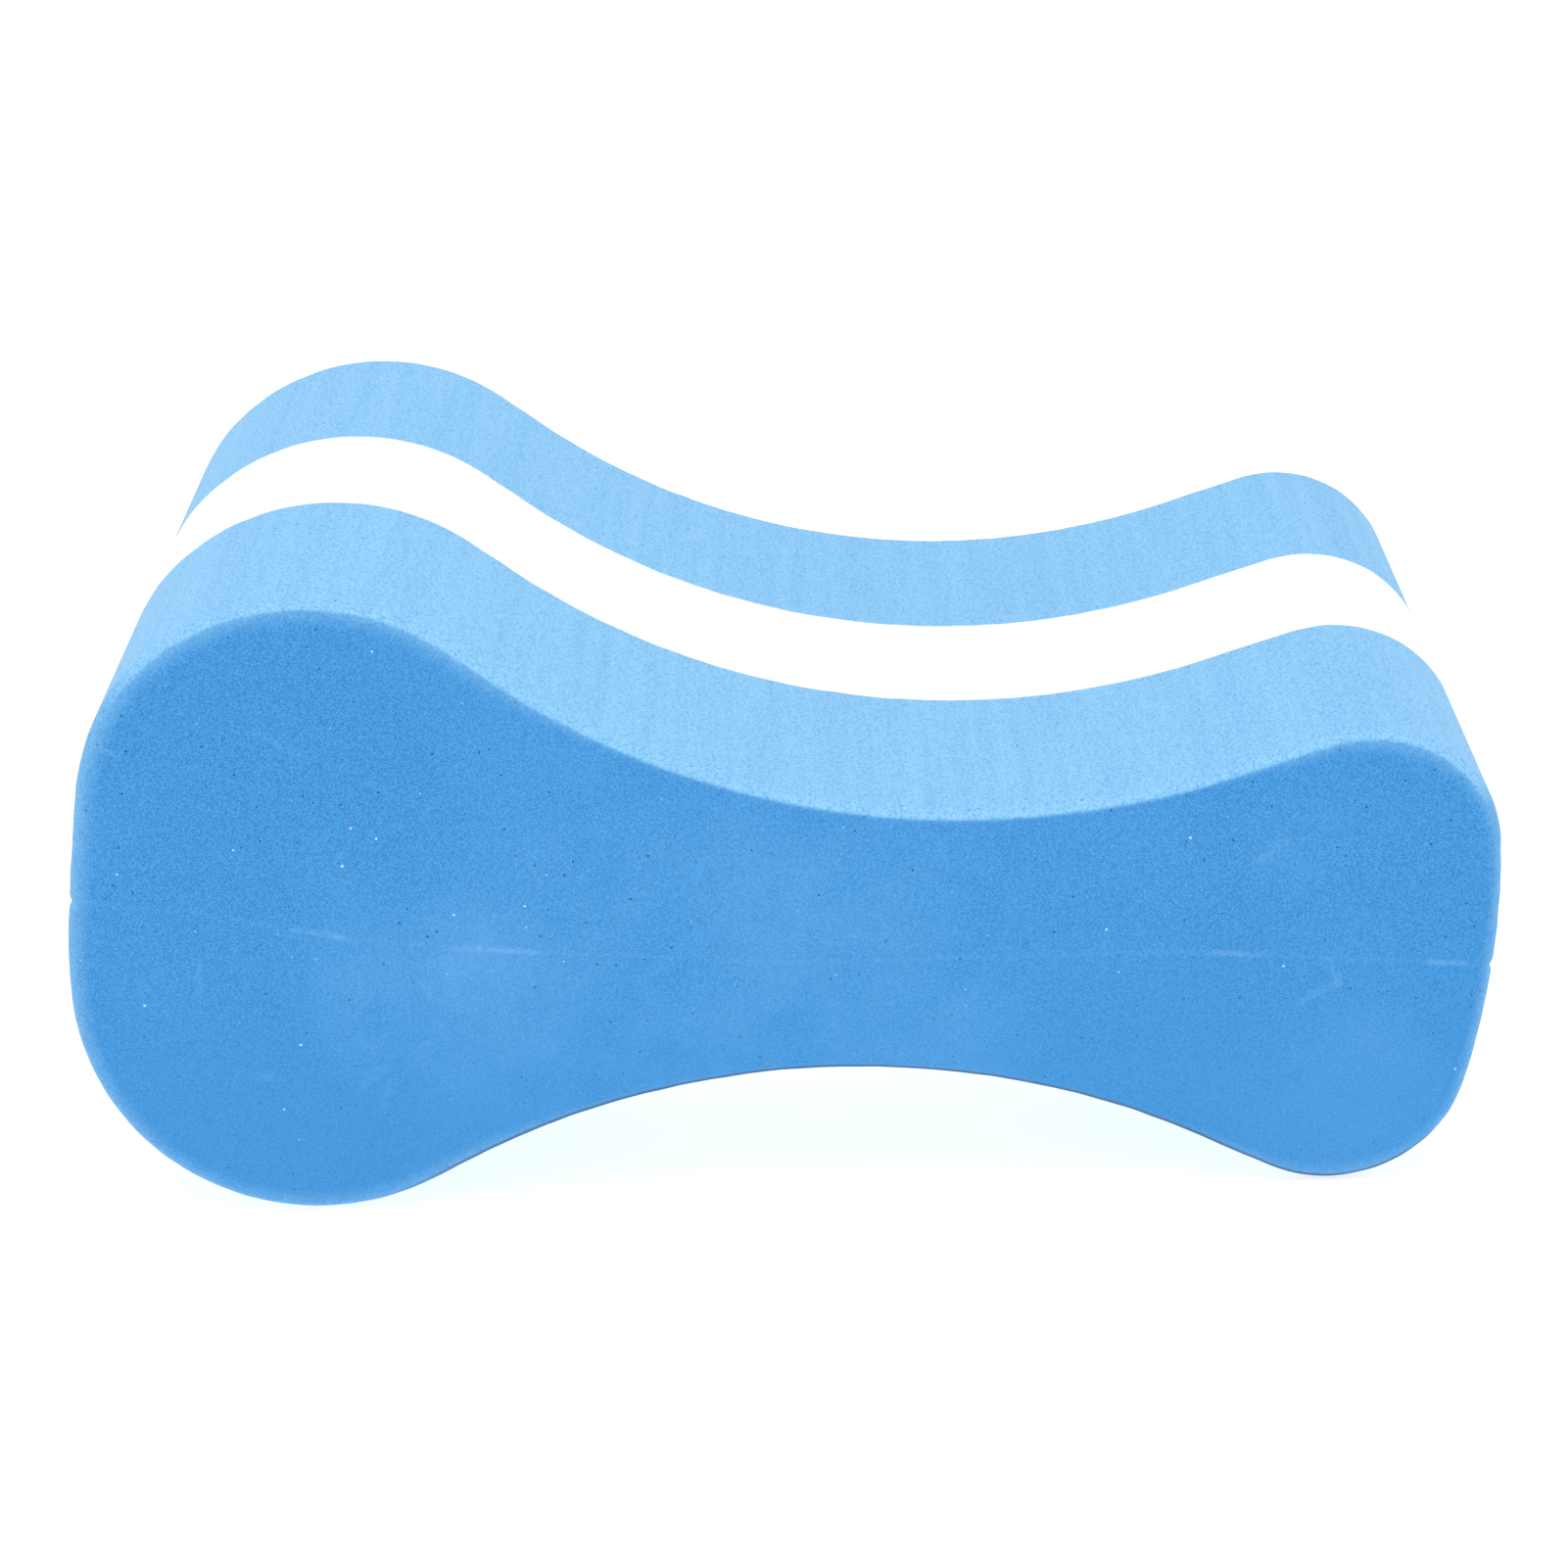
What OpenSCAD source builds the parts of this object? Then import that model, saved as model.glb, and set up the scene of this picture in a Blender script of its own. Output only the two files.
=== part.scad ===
// Asymmetric leg float for swimming: three slabs of closed-cell foam bonded face to face
// and wire-cut to a figure-eight outline, with a large lobe, a narrow waist for the thighs
// and a small lobe. Millimetres, +Z up. The float stands on both lobes. The origin is on
// the floor under the middle of its bounding box, +X runs along it to the small lobe, and
// the front face looks along -Y.

/* [Outline] */
// Length along the midline, from the large end to the small end
float_length = 230; // [220:1:245]
// Height of the large lobe across the midline
large_lobe_h = 108.5; // [104:0.5:114]
// Height of the small lobe across the midline
small_lobe_h = 81; // [76:0.5:84]
// Height left at the waist, its narrowest place
waist_h = 47; // [42:0.5:50]
// Distance of the waist from the large end
waist_x = 135.5; // [132:0.5:138]

/* [Curves] */
// Radius of the large lobe's two shoulders
large_shoulder_r = 38.4; // [36:0.1:41]
// Radius of the small lobe's two shoulders
small_shoulder_r = 22.3; // [19:0.1:23]
// Radius of the nearly flat large end
large_end_r = 240; // [150:5:500]
// Radius of the nearly flat small end
small_end_r = 142; // [80:1:200]
// Length of the shorter of the two straight flanks that run from the waist hollow to a lobe
short_flank = 8; // [4:0.5:14]

/* [Layers] */
// Thickness of each blue outer slab
blue_slab_t = 46.5; // [30:0.5:55]
// Thickness of the white middle slab
white_slab_t = 34; // [20:0.5:45]
// Thickness of the cured adhesive between two slabs
film_t = 0.3; // [0.2:0.1:0.6]

/* [Hidden] */

$fn = 180;
foam_blue = [0.33, 0.64, 0.89];
foam_white = [0.97, 0.97, 0.95];
adhesive_amber = [0.85, 0.80, 0.62];

// Neighbouring curves pass this far into each other, so that they cross instead of touching
seam = 0.002;

// The outline is drawn with its midline on X and the large end at x = 0. Each shoulder arc
// runs into its end arc without a corner, which fixes the shoulder's centre.
large_shoulder_z = large_lobe_h / 2 - large_shoulder_r;
small_shoulder_z = small_lobe_h / 2 - small_shoulder_r;
large_end_x = large_end_r;
small_end_x = float_length - small_end_r;
large_shoulder_x = large_end_x - sqrt(pow(large_end_r - large_shoulder_r, 2) - pow(large_shoulder_z, 2));
small_shoulder_x = small_end_x + sqrt(pow(small_end_r - small_shoulder_r, 2) - pow(small_shoulder_z, 2));
large_centre = [large_shoulder_x, large_shoulder_z];
small_centre = [small_shoulder_x, small_shoulder_z];

// Half the angle that each end arc spans
large_end_angle = asin(large_shoulder_z / (large_end_r - large_shoulder_r));
small_end_angle = asin(small_shoulder_z / (small_end_r - small_shoulder_r));

// The waist hollow is one arc, as wide as leaves a straight flank on both sides of it
waist_r = min(hollow_r(large_centre, large_shoulder_r, large_lobe_h),
              hollow_r(small_centre, small_shoulder_r, small_lobe_h));
waist_centre = [waist_x, waist_h / 2 + waist_r];

// Directions that the two flanks face, square to the flank
large_flank_angle = flank_angle(large_centre, large_shoulder_r, 1);
small_flank_angle = flank_angle(small_centre, small_shoulder_r, -1);

// Lean of the midline, down towards the small end, when both lobes stand on the floor
lobe_step = small_centre - large_centre;
lean = asin((large_shoulder_r - small_shoulder_r) / norm(lobe_step)) - atan2(lobe_step.y, lobe_step.x);

// Height of the large end's middle above the floor, and the outline's reach to each side of it
stand_height = large_shoulder_x * sin(lean) + large_shoulder_z * cos(lean) + large_shoulder_r;
reach_left = reach([-large_shoulder_x, large_shoulder_z], large_shoulder_r,
                   -large_end_x, large_end_r, large_end_angle);
reach_right = reach(small_centre, small_shoulder_r, small_end_x, small_end_r, small_end_angle);

float_depth = 2 * (blue_slab_t + film_t) + white_slab_t;

function direction(a) = [cos(a), sin(a)];

// Radius of the waist hollow that leaves a flank of the short length at one lobe. The flank
// is square to the shoulder's radius and to the hollow's.
function hollow_r(centre, r, lobe_h) =
    (pow(waist_x - centre.x, 2) + pow(waist_h / 2 - centre.y, 2) - pow(r, 2) - pow(short_flank, 2))
        / (lobe_h - waist_h);

// Direction square to the line that touches a shoulder arc from above and the waist hollow
// from below. side is 1 at the large lobe and -1 at the small one.
function flank_angle(centre, r, side) =
    let (v = waist_centre - centre)
    atan2(v.y, v.x) + side * acos((r + waist_r) / norm(v));

// How far the leaning outline reaches sideways from the middle of the large end. The
// furthest point is on the end arc, or on a shoulder where the lean is past that arc.
function reach(shoulder, shoulder_r, end_x, end_r, end_angle) =
    lean > end_angle
        ? shoulder_r + shoulder.x * cos(lean) + shoulder.y * sin(lean)
        : end_r + end_x * cos(lean);

function mirrored(points) = [for (i = [len(points) - 1 : -1 : 0]) [points[i].x, -points[i].y]];

// The straight-sided middle of the outline, from shoulder to shoulder
module core() {
    upper = [
        small_centre,
        small_centre + (small_shoulder_r - seam) * direction(small_flank_angle),
        waist_centre - (waist_r - seam) * direction(small_flank_angle),
        waist_centre - (waist_r - seam) * direction(large_flank_angle),
        large_centre + (large_shoulder_r - seam) * direction(large_flank_angle),
        large_centre
    ];
    polygon(concat(upper, mirrored(upper)));
}

// The slice of a large disc that closes one end, between the two shoulders. side is -1 at
// the large end and 1 at the small one.
module end_cap(side, centre_x, r, angle, shoulder) {
    width = abs(centre_x + side * r - shoulder.x);
    intersection() {
        translate([centre_x, 0]) circle(r = r - seam);
        translate([shoulder.x + side * width / 2, 0])
            square([width, 2 * r * sin(angle)], center = true);
    }
}

module outline() {
    difference() {
        union() {
            core();
            for (side = [-1, 1]) {
                translate([large_centre.x, side * large_centre.y]) circle(r = large_shoulder_r);
                translate([small_centre.x, side * small_centre.y]) circle(r = small_shoulder_r);
            }
            end_cap(-1, large_end_x, large_end_r, large_end_angle, large_centre);
            end_cap(1, small_end_x, small_end_r, small_end_angle, small_centre);
        }
        for (side = [-1, 1])
            translate([waist_centre.x, side * waist_centre.y]) circle(r = waist_r);
    }
}

// One slab of the float, standing on the floor, from front_y back to front_y + thickness
module slab(front_y, thickness) {
    translate([(reach_left - reach_right) / 2, front_y + thickness, stand_height])
        rotate([90, 0, 0])
            linear_extrude(thickness)
                rotate(-lean) outline();
}

module front_blue_block() {
    color(foam_blue) slab(-float_depth / 2, blue_slab_t);
}

module front_adhesive_film() {
    color(adhesive_amber) slab(-white_slab_t / 2 - film_t, film_t);
}

module white_center_layer() {
    color(foam_white) slab(-white_slab_t / 2, white_slab_t);
}

module rear_adhesive_film() {
    color(adhesive_amber) slab(white_slab_t / 2, film_t);
}

module rear_blue_block() {
    color(foam_blue) slab(white_slab_t / 2 + film_t, blue_slab_t);
}

front_blue_block();
front_adhesive_film();
white_center_layer();
rear_adhesive_film();
rear_blue_block();
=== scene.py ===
"""The looks of a pull buoy: three slabs of closed-cell foam, bonded and wire-cut as one.

The outer slabs are blue and the middle one is white. Each slab is a closed mesh whose wall
follows the cut outline, with the cutting wire's marks in it, and whose flat faces carry the
skin's slow waves. The rubbed line along the midline is in the skin's colour.
"""

import math

import bmesh
import bpy
import numpy as np
from mathutils import Matrix, Vector


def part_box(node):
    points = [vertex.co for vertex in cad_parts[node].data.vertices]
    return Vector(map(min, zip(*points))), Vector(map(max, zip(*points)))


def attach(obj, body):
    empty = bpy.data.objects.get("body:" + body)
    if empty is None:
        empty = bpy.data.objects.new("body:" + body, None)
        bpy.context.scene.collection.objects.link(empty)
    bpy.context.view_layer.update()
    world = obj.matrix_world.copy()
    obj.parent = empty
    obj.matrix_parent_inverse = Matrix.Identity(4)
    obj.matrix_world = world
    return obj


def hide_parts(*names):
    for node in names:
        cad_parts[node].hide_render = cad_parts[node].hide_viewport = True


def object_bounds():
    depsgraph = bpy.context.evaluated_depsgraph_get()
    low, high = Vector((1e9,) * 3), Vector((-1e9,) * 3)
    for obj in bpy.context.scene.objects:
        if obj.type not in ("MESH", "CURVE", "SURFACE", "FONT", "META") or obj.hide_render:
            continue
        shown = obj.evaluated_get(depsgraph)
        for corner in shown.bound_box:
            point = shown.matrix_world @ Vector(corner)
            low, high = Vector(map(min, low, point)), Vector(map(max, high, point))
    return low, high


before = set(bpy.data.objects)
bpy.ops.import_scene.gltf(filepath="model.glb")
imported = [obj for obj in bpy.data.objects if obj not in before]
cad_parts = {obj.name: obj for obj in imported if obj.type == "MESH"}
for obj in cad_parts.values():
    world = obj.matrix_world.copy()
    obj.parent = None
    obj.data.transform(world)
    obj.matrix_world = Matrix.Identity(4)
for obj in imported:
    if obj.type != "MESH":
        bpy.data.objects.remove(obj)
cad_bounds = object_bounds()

MM = 0.001

# The outline, drawn on its midline with the large end at x = 0
FLOAT_LENGTH = 230 * MM
LARGE_LOBE_H = 108.5 * MM
SMALL_LOBE_H = 81 * MM
WAIST_H = 47 * MM
WAIST_X = 135.5 * MM
LARGE_SHOULDER_R = 38.4 * MM
SMALL_SHOULDER_R = 22.3 * MM
LARGE_END_R = 240 * MM
SMALL_END_R = 142 * MM
SHORT_FLANK = 8 * MM
# The ends were cut slightly out of square: the outline's shift along it per unit of height, and
# a further shift of the large end, inwards above its midline and outwards below it
SKEW = 0.0155
END_SHIFT = 0.5 * MM
END_SHIFT_SPAN_UP = 40 * MM
END_SHIFT_SPAN_DOWN = 28 * MM
END_SHIFT_REACH = 35 * MM

# Mesh spacing along the outline and through the depth
OUTLINE_STEP = 1.0 * MM
END_STEP = 0.4 * MM
DEPTH_STEP = 1.5 * MM
EDGE_STEPS = 10

# Rounding of the outer edges. Into the depth it is the same all round, and across the face it
# is narrow on top and wider by the extras below where the edge looks another way
OUTER_ROUND_DEPTH = 3.3 * MM
OUTER_ROUND_FACE = 1.5 * MM
LARGE_END_EXTRA = 2.7 * MM
SMALL_END_EXTRA = 1.1 * MM
UNDERSIDE_EXTRA = 0.9 * MM
BONDED_ROUND = 0.12 * MM

# The skin pales towards the outline in painted sheen, over a band that is wide round the lobes and
# narrow at the waist, and widens over a stretch on both sides of it. Close rows of the mesh carry
# the band. On top the cut colour starts on the face itself, a little inside the outline
PALE_BAND_LOBE = 4.3 * MM
PALE_BAND_WAIST = 2.0 * MM
PALE_BAND_SMALL_END = 2.8 * MM
PALE_BAND_SHARE = 0.70
PALE_BAND_FADE = 1.3
PALE_BAND_WIDENS = (38 * MM, 80 * MM)
PALE_BAND_ROWS = [0.4 * MM, 0.9 * MM, 1.5 * MM, 2.2 * MM, 3.0 * MM, 4.0 * MM]
CUT_EDGE_TOP = 1.35 * MM
CUT_EDGE_SOFTNESS = 0.4 * MM
# How far the outline looks up where that begins and is complete, and how far round the edge the
# wall's own colour begins and is complete
CUT_EDGE_LOOKS_UP = (0.15, 0.75)
WALL_BEGINS = (0.7, 1.0)

# A thin line of painted shade where the lower edge turns under. It fades in past the large lobe's
# foot
UNDERSIDE_SHADE_EDGE = 1.4 * MM
UNDERSIDE_SHADE_SOFTNESS = 0.15 * MM
UNDERSIDE_SHADE_START = (45 * MM, 70 * MM)
UNDERSIDE_SHADE_LOOKS_DOWN = (0.5, 0.85)
UNDERSIDE_SHADE_ENDS = (0.95, 0.75)

# Marks left by the cutting wire, which drift round the outline with depth, in radians per metre,
# and the nick at each end where the wire came in and went out
WIRE_WAVES = 26
WIRE_WAVE_H = 0.007 * MM
WIRE_WAVE_MIN = 4.5 * MM
WIRE_WAVE_MAX = 24 * MM
WIRE_DRIFT = 30
WIRE_SEED = 11
NICK_DEPTH = 0.45 * MM
NICK_WIDTH = 0.8 * MM

# Slow waves of a flat face
FACE_WAVES = 14
FACE_WAVE_H = 0.035 * MM
FACE_WAVE_MIN = 26 * MM
FACE_WAVE_MAX = 90 * MM
FACE_SEED = 23

# The mesh of a flat face: how many rings it has, and the stretch of the midline that their spokes
# run to, spread over it partly by place and partly by length round the outline
SEEN_FACE_ROWS = 26
BONDED_FACE_ROWS = 3
FEET_START = 22 * MM
FEET_END = 216 * MM
FEET_BY_PLACE = 0.6

# Colours are linear
SKIN_BLUE = (0.040, 0.253, 0.588)
RUBBED_BLUE = (0.16, 0.42, 0.78)
SCUFF_BLUE = (0.30, 0.56, 0.84)
PIT_BLUE = (0.008, 0.055, 0.17)
FLECK_WHITE = (0.75, 0.85, 0.95)
# Painted shade: the dark blue of the thin line where the lower edge turns under
UNDERSIDE_SHADE_BLUE = (0.02, 0.07, 0.16)
CUT_BLUE = (0.212, 0.482, 0.768)
FOAM_WHITE = (0.89, 0.895, 0.90)
FILM_WHITE = (0.80, 0.86, 0.90)
FILM_SHADE = (0.78, 0.84, 0.88)

# How much each channel follows the grain, and how far the grain moves the cut walls' colour
SKIN_SHARES = (0.50, 0.26, 0.17)
BLUE_SHARES = (1.6, 1.0, 0.55)
WHITE_SHARES = (1.0, 1.0, 1.0)
BLUE_STREAK = 0.028
BLUE_GRAIN = 0.20
WHITE_STREAK = 0.004
WHITE_GRAIN = 0.010

# A faint line is rubbed along each face's midline. It starts a little above the midline and moves
# down over the middle of the float by its sag, or up where that is negative. It is rubbed harder
# in a few dashes. Lengths of the rubbed marks are in millimetres, and places are measured along
# the midline from the large end
LINE_RISE = 1.0
LINE_SAG_SPAN = ((5, 62), (105, 190))
LINE_WIDTH = 1.8
LINE_STRENGTH = 0.05
DASH_STRENGTH = 0.19
FRONT_LINE_SAG = 5.2
FRONT_DASHES = [(35, 46), (61, 78), (182, 194), (218, 226)]
REAR_LINE_SAG = -1.6
REAR_DASHES = [(50, 66), (119, 131), (201, 210)]

# Short scuffs are scattered over the two lobes: the middle of each lobe's patch, how far the
# patch reaches, and how many scuffs it has
SCUFF_PATCHES = [((38, 0), 32, 9), ((196, 0), 22, 3)]
SCUFF_LENGTH = (5.0, 11.0)
SCUFF_WIDTH = (1.8, 3.0)
SCUFF_STRENGTH = (0.05, 0.11)

# Paler clouds on a face: place along and above the midline, radius, strength
FRONT_CLOUDS = [
    ((55, -15), 22, 0.10),
    ((65, -5), 16, 0.05),
    ((195, 20), 12, 0.08),
    ((210, -20), 16, 0.07),
    ((110, -5), 62, 0.10),
]
REAR_CLOUDS = [
    ((40, 12), 24, 0.14),
    ((150, -4), 34, 0.10),
    ((204, -14), 18, 0.10),
]


# ---------------------------------------------------------------- outline

def direction(angle):
    """A step of length 1 at an angle."""
    return np.array([math.cos(angle), math.sin(angle)])


def arc(centre, radius, start, end, step):
    """Points along an arc, without its last one."""
    count = math.ceil(abs(end - start) * radius / step)
    angles = np.linspace(start, end, count, endpoint=False)
    return centre + radius * np.stack([np.cos(angles), np.sin(angles)], axis=1)


def flank(start, end):
    """Points along a straight flank, without its last one."""
    count = math.ceil(np.linalg.norm(end - start) / OUTLINE_STEP)
    along = np.linspace(0, 1, count, endpoint=False)[:, None]
    return start + along * (end - start)


def shoulder_centre(lobe_h, shoulder_r, end_r):
    """Centre of a lobe's shoulder arc, measured inwards from its end and up from the midline."""
    up = lobe_h / 2 - shoulder_r
    return np.array([end_r - math.sqrt((end_r - shoulder_r) ** 2 - up ** 2), up])


def hollow_radius(centre, shoulder_r, lobe_h):
    """Radius of the waist hollow that leaves a straight flank of the short length at a lobe."""
    square = (WAIST_X - centre[0]) ** 2 + (WAIST_H / 2 - centre[1]) ** 2
    return (square - shoulder_r ** 2 - SHORT_FLANK ** 2) / (lobe_h - WAIST_H)


def lean_angle(large, small):
    """How far the midline leans down towards the small end when both lobes stand on a floor."""
    step = small - large
    slope = math.asin((LARGE_SHOULDER_R - SMALL_SHOULDER_R) / np.linalg.norm(step))
    return slope - math.atan2(step[1], step[0])


def upper_outline():
    """Points of the upper half, from the large end to the small end, and the midline's lean."""
    large = shoulder_centre(LARGE_LOBE_H, LARGE_SHOULDER_R, LARGE_END_R)
    small = shoulder_centre(SMALL_LOBE_H, SMALL_SHOULDER_R, SMALL_END_R)
    small[0] = FLOAT_LENGTH - small[0]
    hollow_r = min(hollow_radius(large, LARGE_SHOULDER_R, LARGE_LOBE_H),
                   hollow_radius(small, SMALL_SHOULDER_R, SMALL_LOBE_H))
    waist = np.array([WAIST_X, WAIST_H / 2 + hollow_r])

    def flank_angle(centre, radius, side):
        to_waist = waist - centre
        spread = math.acos((radius + hollow_r) / np.linalg.norm(to_waist))
        return math.atan2(to_waist[1], to_waist[0]) + side * spread

    large_end = np.array([LARGE_END_R, 0])
    small_end = np.array([FLOAT_LENGTH - SMALL_END_R, 0])
    large_seam = math.pi - math.asin(large[1] / (LARGE_END_R - LARGE_SHOULDER_R))
    small_seam = math.asin(small[1] / (SMALL_END_R - SMALL_SHOULDER_R))
    large_flank = flank_angle(large, LARGE_SHOULDER_R, 1)
    small_flank = flank_angle(small, SMALL_SHOULDER_R, -1)
    parts = [
        arc(large_end, LARGE_END_R, math.pi, large_seam, END_STEP),
        arc(large, LARGE_SHOULDER_R, large_seam, large_flank, OUTLINE_STEP),
        flank(large + LARGE_SHOULDER_R * direction(large_flank),
              waist - hollow_r * direction(large_flank)),
        arc(waist, hollow_r, large_flank - math.pi, small_flank - math.pi, OUTLINE_STEP),
        flank(waist - hollow_r * direction(small_flank),
              small + SMALL_SHOULDER_R * direction(small_flank)),
        arc(small, SMALL_SHOULDER_R, small_flank, small_seam, OUTLINE_STEP),
        arc(small_end, SMALL_END_R, small_seam, 0, END_STEP),
        [[FLOAT_LENGTH, 0]],
    ]
    return np.concatenate(parts), lean_angle(large, small)


def smooth_step(value, low, high):
    """0 at low and 1 at high, smoothly between them and no further. low may be the larger one."""
    share = np.clip((value - low) / (high - low), 0, 1)
    return share * share * (3 - 2 * share)


class Outline:
    """The closed outline on its midline, and where it stands in the CAD frame."""

    def __init__(self):
        points, self.lean = upper_outline()
        lower_points = points * np.array([1, -1])
        self.points = np.concatenate([points, lower_points[-2:0:-1]])
        self.count = len(self.points)
        self.half = self.count // 2
        gaps = np.linalg.norm(np.roll(self.points, -1, axis=0) - self.points, axis=1)
        self.perimeter = gaps.sum()
        self.along = np.concatenate([[0], np.cumsum(gaps)[:-1]])
        self.feet = self.midline_feet()
        self.place = self.standing_place()
        self.skew()
        self.normals = self.outward_normals()
        self.pale_band = self.pale_band_width()

    def midline_feet(self):
        """The point of the midline that each outline point's row of a face runs to."""
        by_length = np.minimum(self.along, self.perimeter - self.along) / (self.perimeter / 2)
        by_place = self.points[:, 0] / FLOAT_LENGTH
        share = (1 - FEET_BY_PLACE) * by_length + FEET_BY_PLACE * by_place
        feet = FEET_START + (FEET_END - FEET_START) * share
        return np.stack([feet, np.zeros(self.count)], axis=1)

    def skew(self):
        """Shifts the upper half towards the small end and the lower half away from it, and tilts
        the large end a little more."""
        along, up = self.points[:, 0], self.points[:, 1]
        span = np.where(up > 0, END_SHIFT_SPAN_UP, END_SHIFT_SPAN_DOWN)
        tilt = np.sin(math.pi * np.clip(up / span, -1, 1))
        shift = SKEW * up + END_SHIFT * tilt * np.clip(1 - along / END_SHIFT_REACH, 0, 1)
        self.points = self.points + np.stack([shift, np.zeros(self.count)], axis=1)

    def outward_normals(self):
        """The outline's direction outwards at each point, square to its neighbours' run."""
        run = np.roll(self.points, -1, axis=0) - np.roll(self.points, 1, axis=0)
        normals = np.stack([-run[:, 1], run[:, 0]], axis=1)
        return normals / np.linalg.norm(normals, axis=1)[:, None]

    def pale_band_width(self):
        """Width of the band of painted sheen where the skin pales, all round the outline."""
        from_waist = np.abs(self.points[:, 0] - WAIST_X)
        share = smooth_step(from_waist, *PALE_BAND_WIDENS)
        width = PALE_BAND_WAIST + (PALE_BAND_LOBE - PALE_BAND_WAIST) * share
        facing_small_end = np.clip(self.normals[:, 0], 0, 1) ** 2 * (self.points[:, 0] > WAIST_X)
        return width + (PALE_BAND_SMALL_END - width) * facing_small_end

    def turned(self, points):
        """Outline points leaned as the float stands on both lobes."""
        cosine, sine = math.cos(self.lean), math.sin(self.lean)
        return points @ np.array([[cosine, -sine], [sine, cosine]])

    def standing_place(self):
        """The step from the leaning outline to the CAD's box, in X and Z."""
        low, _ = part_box("white_center_layer")
        lowest = self.turned(self.points).min(axis=0)
        return np.array([low.x, low.z]) - lowest

    def stand(self, points, depths):
        """Outline points and their depths as places in the CAD frame."""
        flat = self.turned(points) + self.place
        return np.stack([flat[:, 0], np.broadcast_to(depths, len(flat)), flat[:, 1]], axis=1)


outline = Outline()


# ---------------------------------------------------------------- surface relief

def random_waves(count, shortest, longest, seed):
    """Wave numbers, spread evenly over a range of wavelengths by ratio, their phases, and the
    generator that drew them."""
    draw = np.random.default_rng(seed)
    lengths = shortest * (longest / shortest) ** draw.random(count)
    return 2 * math.pi / lengths, draw.random(count) * 2 * math.pi, draw


wire_numbers, wire_phases, wire_draw = random_waves(
    WIRE_WAVES, WIRE_WAVE_MIN, WIRE_WAVE_MAX, WIRE_SEED)
# Whole waves fit round the outline, so that the marks meet where it closes
whole_waves = np.round(wire_numbers * outline.perimeter / (2 * math.pi))
wire_numbers = whole_waves * 2 * math.pi / outline.perimeter
wire_drifts = (wire_draw.random(WIRE_WAVES) - 0.5) * WIRE_DRIFT

face_numbers, face_phases, face_draw = random_waves(
    FACE_WAVES, FACE_WAVE_MIN, FACE_WAVE_MAX, FACE_SEED)
face_angles = face_draw.random(FACE_WAVES) * math.pi


def wire_marks(depth):
    """How far the cut wall stands out at one depth, all round the outline."""
    waves = np.sin(np.outer(outline.along, wire_numbers) + wire_phases + wire_drifts * depth)
    marks = WIRE_WAVE_H * waves.sum(axis=1)
    for end in (0, outline.perimeter / 2, outline.perimeter):
        marks -= NICK_DEPTH * np.exp(-((outline.along - end) / NICK_WIDTH) ** 2)
    return marks


def face_relief(points, side):
    """How far a flat face stands out. side is -1 on the front and 1 on the rear."""
    relief = np.zeros(len(points))
    for number, phase, angle in zip(face_numbers, face_phases, face_angles):
        relief += FACE_WAVE_H * np.sin(number * (points @ direction(angle)) + phase * (2 + side))
    return relief


# ---------------------------------------------------------------- slabs

def outer_round():
    """Width of the outer edge's rounding across the face, all round the outline."""
    along, up = outline.normals[:, 0], outline.normals[:, 1]
    return (OUTER_ROUND_FACE
            + LARGE_END_EXTRA * np.clip(-along, 0, 1) ** 2
            + SMALL_END_EXTRA * np.clip(along, 0, 1) ** 2
            + UNDERSIDE_EXTRA * np.clip(-up, 0, 1) ** 2)


def cut_and_sheen_share(inside, sunk):
    """0 where a seen face has its full skin, 1 where it has the cut colour, all round a ring.

    inside is the ring's distance inside the outline. sunk is how far round the edge it is, from
    0 on the face to 1 on the wall. The pale band near the outline is painted sheen.
    """
    upwards = smooth_step(outline.normals[:, 1], *CUT_EDGE_LOOKS_UP)
    # Painted sheen: the skin pales in a band near the outline
    band = PALE_BAND_SHARE * np.clip(1 - inside / outline.pale_band, 0, 1) ** PALE_BAND_FADE
    skin_from = CUT_EDGE_TOP + CUT_EDGE_SOFTNESS
    cut_up_to = CUT_EDGE_TOP - CUT_EDGE_SOFTNESS
    top = upwards * smooth_step(inside, skin_from, cut_up_to)
    wall = smooth_step(sunk, *WALL_BEGINS)
    return np.maximum(np.maximum(band, top), wall)


def underside_shade_share(inside, sunk):
    """1 in the thin line of painted shade where the lower edge turns under, and 0 elsewhere."""
    along = smooth_step(outline.points[:, 0], *UNDERSIDE_SHADE_START)
    under = along * smooth_step(-outline.normals[:, 1], *UNDERSIDE_SHADE_LOOKS_DOWN)
    line = smooth_step(inside, UNDERSIDE_SHADE_EDGE + UNDERSIDE_SHADE_SOFTNESS, UNDERSIDE_SHADE_EDGE - UNDERSIDE_SHADE_SOFTNESS)
    return under * line * smooth_step(sunk, *UNDERSIDE_SHADE_ENDS)


def edge_rings(face_y, inwards, across, into):
    """Rings round one edge, from the face to the wall. inwards is the way into the slab.

    Each ring has points, depth, flatness (1 on the face, 0 on the wall), cut and sheen, and
    painted shade.
    """
    rings = []
    for step in range(EDGE_STEPS + 1):
        turn = step / EDGE_STEPS * math.pi / 2
        depth = face_y + inwards * into * (1 - math.cos(turn))
        inset = across * (1 - math.sin(turn))
        out = wire_marks(depth) * math.sin(turn) - inset
        flat = outline.points + out[:, None] * outline.normals
        flatness = math.cos(turn)
        cut = cut_and_sheen_share(inset, 1 - flatness)
        underside_shade = underside_shade_share(inset, 1 - flatness)
        rings.append((flat, depth, flatness, cut, underside_shade))
    return rings


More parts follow.
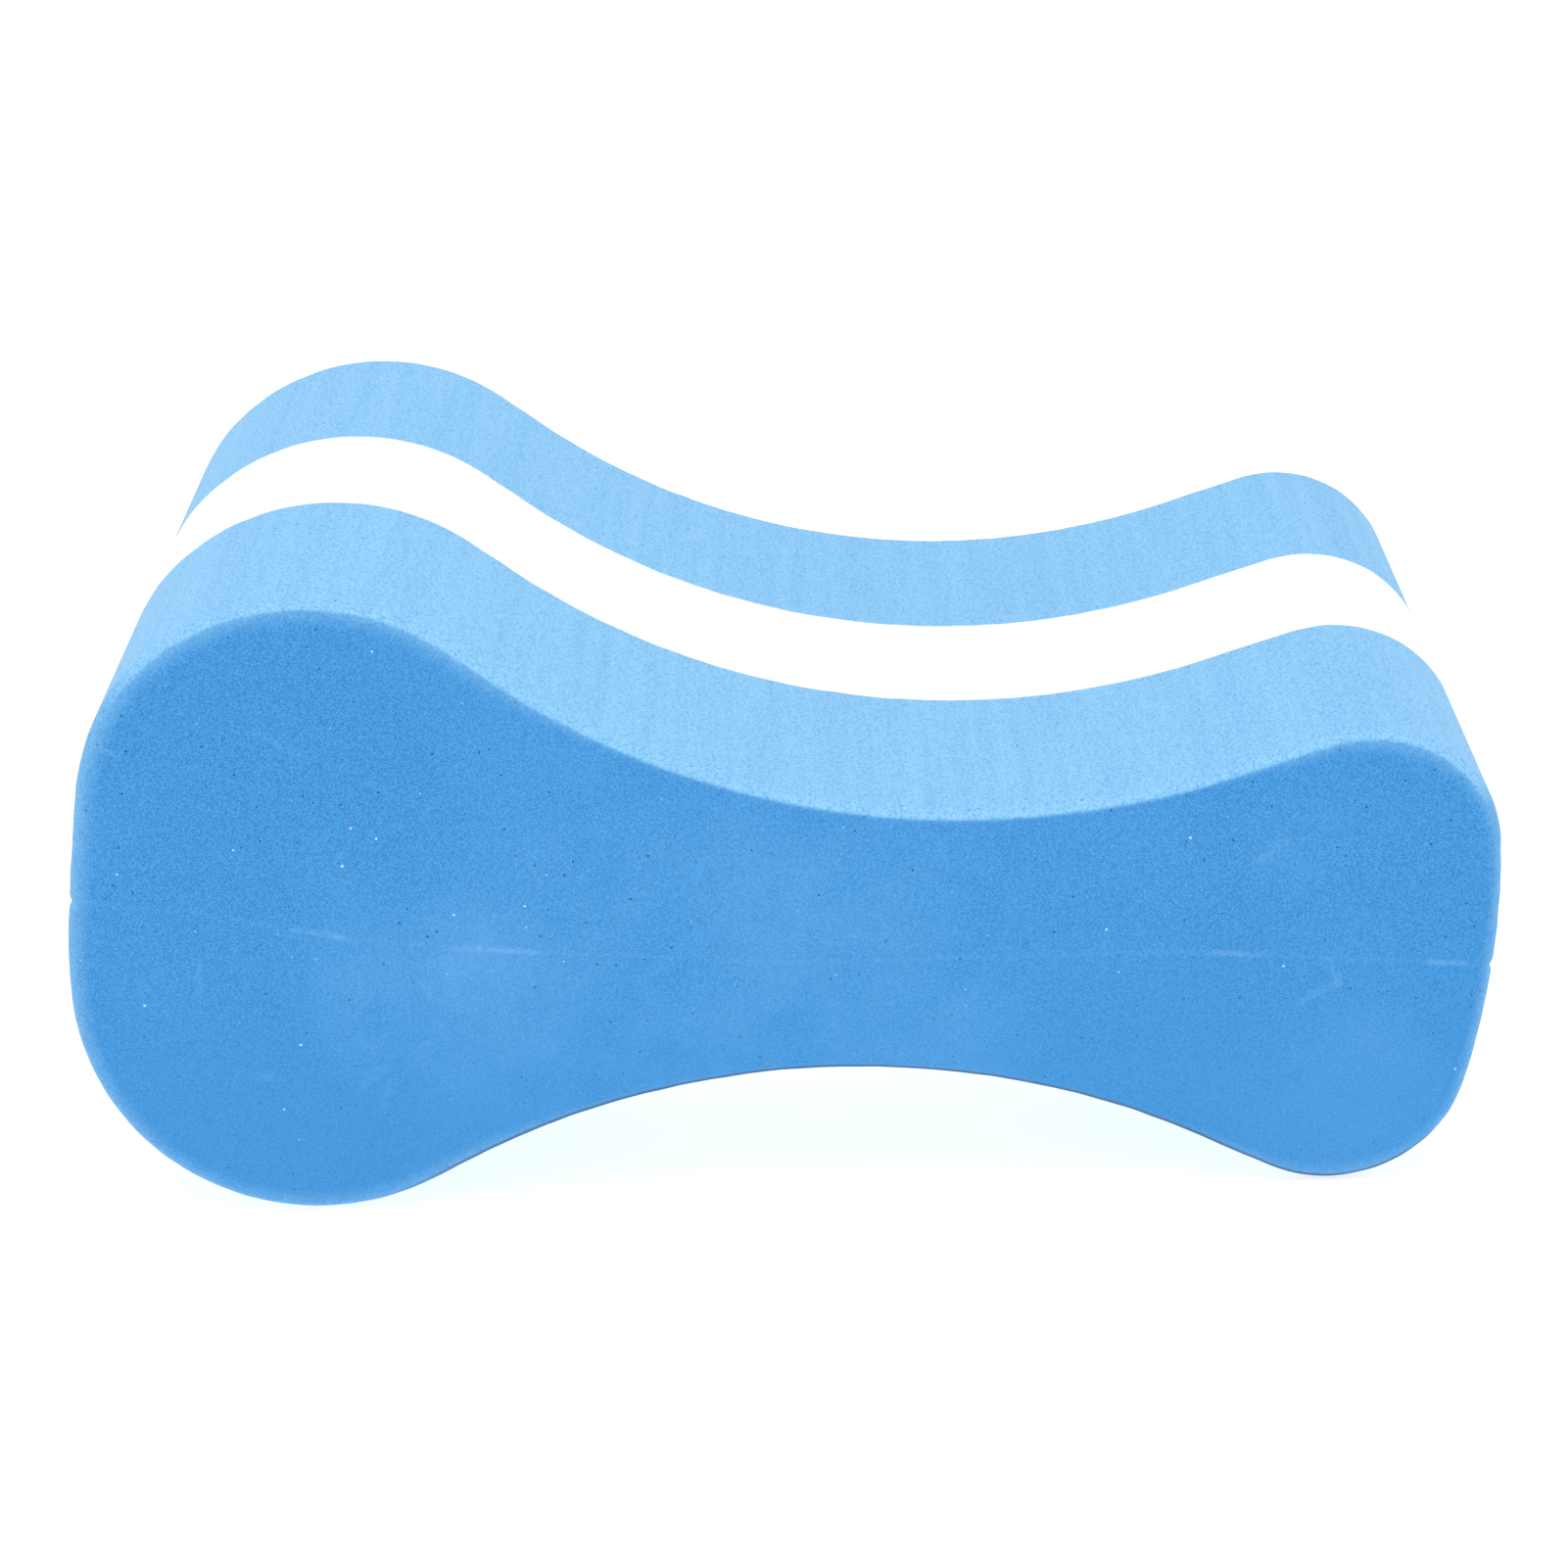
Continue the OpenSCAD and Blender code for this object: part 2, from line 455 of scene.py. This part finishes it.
def face_rings(rim, face_y, across, rows, fine_rows):
    """Rings of a flat face, as above, from its rim towards the midline. fine_rows are the first
    rows' distances from the rim."""
    reach = outline.feet - rim
    length = np.linalg.norm(reach, axis=1)
    straight = -(reach * outline.normals).sum(axis=1) / length
    fine_end = fine_rows[-1] if fine_rows else 0
    shares = [distance / length for distance in fine_rows]
    for row in range(1, rows + 1):
        start = fine_end / length
        shares.append(start + (1 - start) * row / (rows + 1))
    rings = []
    nowhere = np.zeros(outline.count)
    for share in shares:
        inside = across + share * length * straight
        rings.append((rim + share[:, None] * reach, face_y, 1.0, cut_and_sheen_share(inside, 0.0), nowhere))
    return rings


def build_slab(name, front_y, back_y, front_seen=False, back_seen=False):
    """One slab or film as a closed mesh. A seen face has a rounded edge, relief and fine rows."""
    everywhere, nowhere = np.ones(outline.count), np.zeros(outline.count)

    def side(face_y, inwards, seen):
        across = outer_round() if seen else np.full(outline.count, BONDED_ROUND)
        edge = edge_rings(face_y, inwards, across, OUTER_ROUND_DEPTH if seen else BONDED_ROUND)
        face = face_rings(edge[0][0], face_y, across, SEEN_FACE_ROWS if seen else BONDED_FACE_ROWS,
                          PALE_BAND_ROWS if seen else [])
        rings = []
        for flat, depth, flatness, cut, underside_shade in list(reversed(face)) + edge:
            lift = -inwards * flatness * face_relief(flat, -inwards) if seen else 0
            place = outline.stand(flat, depth + lift)
            rings.append((place, cut, underside_shade) if seen else (place, everywhere, nowhere))
        feet = outline.feet[:outline.half + 1]
        lift = -inwards * face_relief(feet, -inwards) if seen else 0
        middle = (outline.stand(feet, face_y + lift), np.full(len(feet), 0.0 if seen else 1.0),
                  np.zeros(len(feet)))
        return rings, middle, edge[-1][1]

    front, front_middle, wall_start = side(front_y, 1, front_seen)
    back, back_middle, wall_end = side(back_y, -1, back_seen)
    wall = []
    steps = max(1, round((wall_end - wall_start) / DEPTH_STEP))
    for depth in np.linspace(wall_start, wall_end, steps + 1)[1:-1]:
        flat = outline.points + wire_marks(depth)[:, None] * outline.normals
        wall.append((outline.stand(flat, depth), everywhere, nowhere))
    rings = front + wall + list(reversed(back))
    vertices, cut_and_sheen_shares, underside_shades = map(np.concatenate, zip(*rings, front_middle, back_middle))

    count, half = outline.count, outline.half
    front_base = len(rings) * count
    back_base = front_base + half + 1
    last = (len(rings) - 1) * count
    faces = []
    for k in range(count):
        after = (k + 1) % count
        middle, middle_after = min(k, count - k), min(after, count - after)
        for base in range(0, last, count):
            faces.append((base + k, base + after, base + count + after, base + count + k))
        faces.append((front_base + middle, front_base + middle_after, after, k))
        faces.append((last + k, last + after, back_base + middle_after, back_base + middle))
    piece = make_piece(name, vertices, faces)
    # The cut attribute also carries painted sheen, and the other one the painted shade under the
    # lower edge
    for label, values in (("cut", cut_and_sheen_shares), ("underside_shade", underside_shades)):
        attribute = piece.data.attributes.new(label, "FLOAT", "POINT")
        attribute.data.foreach_set("value", values.astype(np.float32))
    return piece


def make_piece(name, vertices, faces):
    """A smooth-shaded object whose faces all look outwards."""
    mesh = bpy.data.meshes.new(name)
    mesh.from_pydata(vertices.tolist(), [], faces)
    work = bmesh.new()
    work.from_mesh(mesh)
    bmesh.ops.recalc_face_normals(work, faces=work.faces)
    work.to_mesh(mesh)
    work.free()
    mesh.shade_smooth()
    piece = bpy.data.objects.new(name, mesh)
    bpy.context.scene.collection.objects.link(piece)
    return piece


# ---------------------------------------------------------------- materials

# The turn of the grain's cells, at odds with every face
GRAIN_TURN = (0.6, 0.7, 0.4)
# Most of a noise texture's values lie in this range
NOISE_RANGE = (0.3, 0.7)
# A mark on a face is at full strength over this share of its half length
MARK_CORE = 0.62
# Height on the face over which the grain and pits grow to full strength, and their share below it
UPPER_RANGE = (12.0, 60.0)
LOWER_SHARE = 0.5
PIT_STRENGTH = 0.9
FLECK_STRENGTH = 0.7
# Strength of the painted shade where the lower edge turns under
UNDERSIDE_SHADE_STRENGTH = 0.8
# Heights of the fine relief that is only in the materials, in metres
BLUE_RELIEF = 0.00006
WHITE_RELIEF = 0.00005
FILM_RELIEF = 0.00003


class Material:
    """A Principled material and short calls that add nodes to it. Lengths are in millimetres."""

    def __init__(self, name, specular):
        self.material = bpy.data.materials.new(name)
        self.material.use_nodes = True
        self.tree = self.material.node_tree
        self.shader = self.tree.nodes["Principled BSDF"]
        self.shader.inputs["Specular IOR Level"].default_value = specular
        metres = self.add("ShaderNodeTexCoord").outputs["Object"]
        self.place = self.vector("SCALE", metres, scale=1 / MM)

    def add(self, kind, inputs=None, **settings):
        """A new node. Each input is linked where its value is a socket, and set otherwise."""
        node = self.tree.nodes.new(kind)
        for key, value in settings.items():
            setattr(node, key, value)
        for key, value in (inputs or {}).items():
            if isinstance(value, bpy.types.NodeSocket):
                self.tree.links.new(value, node.inputs[key])
            else:
                node.inputs[key].default_value = value
        return node

    def vector(self, operation, a, b=None, scale=None):
        """A vector operation on a and b, or on a and a scale."""
        inputs = {0: a}
        if b is not None:
            inputs[1] = b
        if scale is not None:
            inputs["Scale"] = scale
        return self.add("ShaderNodeVectorMath", inputs, operation=operation).outputs[0]

    def math(self, operation, a, b=0.0, clamp=False):
        """A number operation on a and b, kept from 0 to 1 where it is clamped."""
        node = self.add("ShaderNodeMath", {0: a, 1: b}, operation=operation, use_clamp=clamp)
        return node.outputs[0]

    def ramp(self, value, low, high, to_low=0.0, to_high=1.0):
        """value from low to high becomes to_low to to_high, smoothly and no further."""
        inputs = {"Value": value, "From Min": low, "From Max": high,
                  "To Min": to_low, "To Max": to_high}
        node = self.add("ShaderNodeMapRange", inputs, interpolation_type="SMOOTHSTEP")
        return node.outputs["Result"]

    def swing(self, noise, to_low=-1.0, to_high=1.0):
        """Noise whose usual range becomes to_low to to_high."""
        return self.ramp(noise, *NOISE_RANGE, to_low, to_high)

    def mix(self, factor, a, b):
        """The colour a, and b where the factor is 1. Either is a socket or three numbers."""
        ends = [end if isinstance(end, bpy.types.NodeSocket) else (*end, 1) for end in (a, b)]
        node = self.add("ShaderNodeMix", {0: factor, 6: ends[0], 7: ends[1]}, data_type="RGBA")
        return node.outputs[2]

    def mix_value(self, factor, a, b):
        """The number a, and b where the factor is 1."""
        return self.add("ShaderNodeMix", {0: factor, 2: a, 3: b}, data_type="FLOAT").outputs[0]

    def grain(self, scale, detail, offset):
        """Fine noise of so many cells to the millimetre. It is turned, so that no face lines up
        with its cells and shows them in patches."""
        turn = {"Vector": self.place, "Location": offset, "Rotation": GRAIN_TURN}
        turned = self.add("ShaderNodeMapping", turn)
        inputs = {"Vector": turned.outputs[0], "Scale": scale, "Detail": detail, "Roughness": 0.6}
        return self.add("ShaderNodeTexNoise", inputs).outputs["Fac"]

    def noise(self, scale, detail=2.0, roughness=0.5, stretch=(1, 1, 1), offset=(0, 0, 0)):
        """Noise of so many cells to the millimetre, from 0 to 1. It is longer along an axis whose
        stretch is below 1."""
        place = self.vector("MULTIPLY", self.vector("ADD", self.place, offset), stretch)
        inputs = {"Vector": place, "Scale": scale, "Detail": detail, "Roughness": roughness}
        return self.add("ShaderNodeTexNoise", inputs).outputs["Fac"]

    def tint(self, colour, amount, shares):
        """colour made lighter by amount, times each channel's share of it."""
        factors = []
        for share in shares:
            factors.append(self.add("ShaderNodeMath", {0: amount, 1: share, 2: 1.0},
                                    operation="MULTIPLY_ADD").outputs[0])
        joined = self.add("ShaderNodeCombineXYZ", dict(enumerate(factors)))
        return self.vector("MULTIPLY", colour, joined.outputs[0])

    def specks(self, spacing, radius, share, offset=(0, 0, 0)):
        """1 inside small round specks, scattered one to a cell in a share of the cells."""
        place = self.vector("ADD", self.place, offset)
        cells = self.add("ShaderNodeTexVoronoi", {"Vector": place, "Scale": 1 / spacing})
        draw = self.add("ShaderNodeSeparateColor", {0: cells.outputs["Color"]})
        size = self.ramp(draw.outputs[1], 0.0, 1.0, 0.5 * radius / spacing, radius / spacing)
        near = self.math("SUBTRACT", size, cells.outputs["Distance"])
        dot = self.ramp(near, 0.0, 0.3 * radius / spacing)
        return self.math("MULTIPLY", dot, self.math("LESS_THAN", draw.outputs[0], share))

    def spot(self, place, angle=0.0):
        """X and Z measured from a place on a face, along and across an angle."""
        x, _, z = outline.stand(np.array([place]) * MM, 0)[0] / MM
        turn = (0, outline.lean - angle, 0)
        inputs = {"Vector": self.place, "Location": (x, 0, z), "Rotation": turn}
        moved = self.add("ShaderNodeMapping", inputs, vector_type="TEXTURE")
        parts = self.add("ShaderNodeSeparateXYZ", {0: moved.outputs[0]})
        return parts.outputs["X"], parts.outputs["Z"]

    def stroke(self, start, end, width):
        """1 along a straight rubbed mark on a face, fading to 0 at its ends and sides."""
        run = end - start
        length = np.linalg.norm(run)
        along, across = self.spot((start + end) / 2, math.atan2(run[1], run[0]))
        return self.math("MULTIPLY", self.near(along, 0.0, length / 2),
                         self.ramp(self.math("ABSOLUTE", across), width / 2, 0.0))

    def near(self, value, middle, reach):
        """1 where value is close to the middle, fading to 0 at the reach."""
        away = self.math("ABSOLUTE", self.math("SUBTRACT", value, middle))
        return self.ramp(away, reach, MARK_CORE * reach)

    def rubbed_line(self, sag, dashes):
        """Strength of the line rubbed along a face's midline, with its harder dashes."""
        along, up = self.spot((0, 0))
        (sag_start, sag_full), (sag_held, sag_end) = LINE_SAG_SPAN
        sagging = self.math("MULTIPLY", self.ramp(along, sag_start, sag_full),
                            self.ramp(along, sag_end, sag_held))
        above_line = self.math("ADD", self.math("SUBTRACT", up, LINE_RISE),
                               self.math("MULTIPLY", sagging, sag))
        across = self.ramp(self.math("ABSOLUTE", above_line), LINE_WIDTH / 2, 0.0)
        layers = [(1.0, LINE_STRENGTH)]
        for dash_start, dash_end in dashes:
            dash = self.near(along, (dash_start + dash_end) / 2, (dash_end - dash_start) / 2)
            layers.append((dash, DASH_STRENGTH - LINE_STRENGTH))
        return self.math("MULTIPLY", across, self.summed(layers))

    def cloud(self, place, radius):
        """1 at a place on a face, fading to 0 at a radius."""
        x, z = self.spot(place)
        square = self.math("ADD", self.math("MULTIPLY", x, x), self.math("MULTIPLY", z, z))
        return self.ramp(square, radius ** 2, 0.0)

    def summed(self, layers):
        """Layers, each times its strength, added together."""
        total = self.math("MULTIPLY", layers[0][0], layers[0][1])
        for layer, strength in layers[1:]:
            total = self.add("ShaderNodeMath", {0: layer, 1: strength, 2: total},
                             operation="MULTIPLY_ADD").outputs[0]
        return total

    def bump(self, height, distance, strength):
        """A normal for fine relief, where a height of 1 stands out by the distance."""
        inputs = {"Height": height, "Distance": distance, "Strength": strength}
        return self.add("ShaderNodeBump", inputs).outputs[0]

    def finish(self, colour, roughness, normal):
        """Links the three to the shader and gives the material."""
        self.tree.links.new(colour, self.shader.inputs["Base Color"])
        self.tree.links.new(roughness, self.shader.inputs["Roughness"])
        self.tree.links.new(normal, self.shader.inputs["Normal"])
        return self.material


def cut_surface(m, colour, streak, grain, shares):
    """Colour and height of a wire-cut wall: fine open cells, and faint streaks along the wire."""
    streaks = m.noise(scale=0.45, detail=2, stretch=(1, 0.03, 1))
    broad = m.noise(scale=0.13, detail=1, stretch=(1, 0.1, 1), offset=(40, 0, 0))
    cells = m.grain(scale=2.3, detail=1, offset=(0, 0, 0))
    pores = m.specks(spacing=1.5, radius=0.36, share=0.30, offset=(3, 0, 9))
    tone = m.summed([(m.swing(streaks), streak),
                     (m.swing(broad), 0.3 * streak),
                     (m.ramp(cells, 0.28, 0.62, -1, 0.6), grain),
                     (pores, -1.3 * grain)])
    return m.tint(colour, tone, shares), cells


def scatter_scuffs(seed):
    """Short rubbed marks scattered over both lobes: the ends, width and strength of each."""
    draw = np.random.default_rng(seed)
    scuffs = []
    for centre, reach, count in SCUFF_PATCHES:
        for _ in range(count):
            middle = centre + draw.uniform(-reach, reach, 2)
            half = draw.uniform(*SCUFF_LENGTH) / 2 * direction(draw.uniform(0, math.pi))
            scuffs.append((middle - half, middle + half,
                           draw.uniform(*SCUFF_WIDTH), draw.uniform(*SCUFF_STRENGTH)))
    return scuffs


def blue_skin(m, line, scuffs, clouds, offset):
    """Colour and height of a flat face, and the strength of its rubbed marks.

    It has fine grain, pits and flecks, pale clouds and rubbed marks. The grain and the pits are
    weaker low on the face.
    """
    grain = m.grain(scale=3.4, detail=1, offset=offset)
    drift = m.noise(scale=0.03, detail=1, offset=offset)
    patches = m.noise(scale=0.10, detail=2, roughness=0.65, offset=offset)
    breaks = m.noise(scale=0.7, detail=2, roughness=0.7, offset=offset)
    pits = m.specks(spacing=1.5, radius=0.35, share=0.12, offset=offset)
    flecks = m.specks(spacing=1.9, radius=0.27, share=0.08, offset=(5, 5, 5))
    height_up = m.add("ShaderNodeSeparateXYZ", {0: m.place}).outputs["Z"]
    upper = m.ramp(height_up, *UPPER_RANGE, LOWER_SHARE, 1.0)

    sandy = m.math("MULTIPLY", m.swing(grain), upper)
    skin = m.tint(SKIN_BLUE, sandy, SKIN_SHARES)
    haze = m.summed([(m.cloud(place, radius), strength) for place, radius, strength in clouds])
    haze = m.math("MULTIPLY", haze, m.swing(patches, 0.4, 1.5))
    haze = m.math("ADD", haze, m.ramp(drift, 0.4, 0.75, 0.0, 0.08), clamp=True)
    skin = m.mix(haze, skin, RUBBED_BLUE)
    rubs = [(m.stroke(start, end, width), strength) for start, end, width, strength in scuffs]
    rubs = m.summed([(line, 1.0), *rubs])
    rubs = m.math("MULTIPLY", rubs, m.ramp(breaks, 0.34, 0.62, 0.35, 1.1), clamp=True)
    skin = m.mix(rubs, skin, SCUFF_BLUE)
    upper_pits = m.math("MULTIPLY", pits, upper)
    skin = m.mix(m.math("MULTIPLY", upper_pits, PIT_STRENGTH), skin, PIT_BLUE)
    skin = m.mix(m.math("MULTIPLY", flecks, FLECK_STRENGTH), skin, FLECK_WHITE)
    return skin, grain, rubs


def blue_foam(name, line_sag, dashes, scuff_seed, clouds, offset):
    """Blue foam: a deeper blue skin on its face and a paler cut wall round its outline."""
    m = Material(name, specular=0.25)
    wall_colour, wall_height = cut_surface(m, CUT_BLUE, BLUE_STREAK, BLUE_GRAIN, BLUE_SHARES)
    line = m.rubbed_line(line_sag, dashes)
    skin, skin_height, rubs = blue_skin(m, line, scatter_scuffs(scuff_seed), clouds, offset)
    fray = m.swing(m.noise(scale=0.6, detail=1, offset=offset), -0.06, 0.06)
    # The cut share is the wall's cut colour, with painted sheen in the pale band near the outline
    cut = m.add("ShaderNodeAttribute", attribute_name="cut").outputs["Fac"]
    edge = m.math("MULTIPLY", m.math("MULTIPLY", cut, m.math("SUBTRACT", 1.0, cut)), 4.0)
    wall = m.math("ADD", cut, m.math("MULTIPLY", edge, fray), clamp=True)
    colour = m.mix(wall, skin, wall_colour)
    # Painted shade: a thin dark line where the lower edge turns under
    underside_shade = m.add("ShaderNodeAttribute", attribute_name="underside_shade").outputs["Fac"]
    colour = m.mix(m.math("MULTIPLY", underside_shade, UNDERSIDE_SHADE_STRENGTH), colour, UNDERSIDE_SHADE_BLUE)
    height = m.mix_value(wall, skin_height, wall_height)
    roughness = m.summed([(skin_height, 0.10), (rubs, -0.12), (wall, 0.08), (1.0, 0.57)])
    return m.finish(colour, roughness, m.bump(height, BLUE_RELIEF, strength=0.6))


def white_foam():
    """White foam, cut all round."""
    m = Material("white_foam", specular=0.25)
    colour, height = cut_surface(m, FOAM_WHITE, WHITE_STREAK, WHITE_GRAIN, WHITE_SHARES)
    roughness = m.ramp(height, 0.2, 0.8, 0.62, 0.75)
    return m.finish(colour, roughness, m.bump(height, WHITE_RELIEF, strength=0.5))


def adhesive():
    """A pale, smeared film of cured adhesive."""
    m = Material("adhesive", specular=0.4)
    smear = m.noise(scale=0.8, detail=3, stretch=(1, 0.3, 1))
    colour = m.mix(m.swing(smear, 0.0, 1.0), FILM_SHADE, FILM_WHITE)
    roughness = m.swing(smear, 0.4, 0.55)
    return m.finish(colour, roughness, m.bump(smear, FILM_RELIEF, strength=0.5))


# ---------------------------------------------------------------- the float

def add_piece(name, node, front_seen, back_seen, material):
    """One piece between the front and back of its CAD node."""
    low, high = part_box(node)
    piece = build_slab(name, low.y, high.y, front_seen, back_seen)
    piece.data.materials.append(material)
    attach(piece, "root")
    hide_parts(node)
    return piece


front_blue = blue_foam("front_blue_foam", FRONT_LINE_SAG, FRONT_DASHES, scuff_seed=5,
                       clouds=FRONT_CLOUDS, offset=(0, 0, 0))
rear_blue = blue_foam("rear_blue_foam", REAR_LINE_SAG, REAR_DASHES, scuff_seed=8,
                      clouds=REAR_CLOUDS, offset=(17, 3, 29))
white = white_foam()
glue = adhesive()
front_slab = add_piece("front_blue_slab", "front_blue_block", True, False, front_blue)
middle_slab = add_piece("white_middle_slab", "white_center_layer", False, False, white)
rear_slab = add_piece("rear_blue_slab", "rear_blue_block", False, True, rear_blue)
add_piece("front_bond", "front_adhesive_film", False, False, glue)
add_piece("rear_bond", "rear_adhesive_film", False, False, glue)


# ---------------------------------------------------------------- studio

FLOOR_RADIUS = 2.6
FLOOR_RIM = 1.2
FLOOR_RIM_H = 1.4
FLOOR_SPOKES = 96
FLAT_RINGS = 4
RIM_STEPS = 12
FLOOR_GREY = 0.5
# The floor gives off light of its own, so that it renders white with no shadow
FLOOR_GLOW = 0.74
SKY_STRENGTH = 0.6
KEY_PLACE = (-0.05, -0.3, 1.7)
KEY_TARGET = (0, 0, 0.05)
KEY_SIZE = 1.5
KEY_POWER = 17


def make_floor():
    """A round pale floor whose rim sweeps up into a backdrop."""
    work = bmesh.new()
    flat = FLOOR_RADIUS - FLOOR_RIM
    profile = [(flat * step / FLAT_RINGS, 0.0) for step in range(1, FLAT_RINGS)]
    for step in range(RIM_STEPS + 1):
        turn = step / RIM_STEPS * math.pi / 2
        profile.append((flat + FLOOR_RIM * math.sin(turn), FLOOR_RIM_H * (1 - math.cos(turn))))
    centre = work.verts.new((0, 0, 0))
    rings = []
    for radius, height in profile:
        ring = []
        for spoke in range(FLOOR_SPOKES):
            x, y = radius * direction(2 * math.pi * spoke / FLOOR_SPOKES)
            ring.append(work.verts.new((x, y, height)))
        rings.append(ring)
    for spoke in range(FLOOR_SPOKES):
        after = (spoke + 1) % FLOOR_SPOKES
        work.faces.new((centre, rings[0][spoke], rings[0][after]))
        for inner, outer in zip(rings, rings[1:]):
            work.faces.new((inner[spoke], outer[spoke], outer[after], inner[after]))
    mesh = bpy.data.meshes.new("floor")
    work.to_mesh(mesh)
    work.free()
    mesh.shade_smooth()
    floor = bpy.data.objects.new("floor", mesh)
    bpy.context.scene.collection.objects.link(floor)
    m = Material("floor", specular=0.0)
    m.shader.inputs["Roughness"].default_value = 0.9
    m.shader.inputs["Base Color"].default_value = (FLOOR_GREY, FLOOR_GREY, FLOOR_GREY, 1)
    m.shader.inputs["Emission Color"].default_value = (1, 1, 1, 1)
    m.shader.inputs["Emission Strength"].default_value = FLOOR_GLOW
    mesh.materials.append(m.material)


def add_softbox(name, place, target, size, power):
    """A round area light, aimed at the target."""
    light = bpy.data.lights.new(name, "AREA")
    light.shape = "DISK"
    light.size = size
    light.energy = power
    lamp = bpy.data.objects.new(name, light)
    lamp.location = place
    lamp.rotation_euler = (Vector(target) - Vector(place)).to_track_quat("-Z", "Y").to_euler()
    bpy.context.scene.collection.objects.link(lamp)


def add_sky(strength):
    """Even white light from all round."""
    world = bpy.data.worlds.new("studio")
    world.use_nodes = True
    background = world.node_tree.nodes["Background"]
    background.inputs["Color"].default_value = (1, 1, 1, 1)
    background.inputs["Strength"].default_value = strength
    bpy.context.scene.world = world


# The camera's lens and sensor in millimetres, its direction, and its distance from a point a
# little off the middle of the float
LENS = 83.29
SENSOR = 36
ELEVATION = math.radians(23.84)
HEADING = math.radians(0.82)
ROLL = math.radians(-2.12)
DISTANCE = 0.6388
AIM_OFFSET = Vector((0.3, -2.6, -6.0)) * MM


def add_camera():
    """A camera in front of and above the float, turned about its own axis by a small roll."""
    data = bpy.data.cameras.new("camera")
    data.lens = LENS
    data.sensor_width = SENSOR
    data.clip_end = 20
    camera = bpy.data.objects.new("camera", data)
    low, high = cad_bounds
    tilt = Matrix.Rotation(math.pi / 2 - ELEVATION, 4, "X")
    turn = Matrix.Rotation(HEADING, 4, "Z") @ tilt @ Matrix.Rotation(ROLL, 4, "Z")
    aim = (low + high) / 2 + AIM_OFFSET
    place = aim + turn.to_3x3() @ Vector((0, 0, DISTANCE))
    camera.matrix_world = Matrix.Translation(place) @ turn
    bpy.context.scene.collection.objects.link(camera)
    bpy.context.scene.camera = camera


make_floor()
add_sky(SKY_STRENGTH)
add_softbox("key", KEY_PLACE, KEY_TARGET, KEY_SIZE, KEY_POWER)
add_camera()
bpy.context.scene.view_settings.view_transform = "Standard"
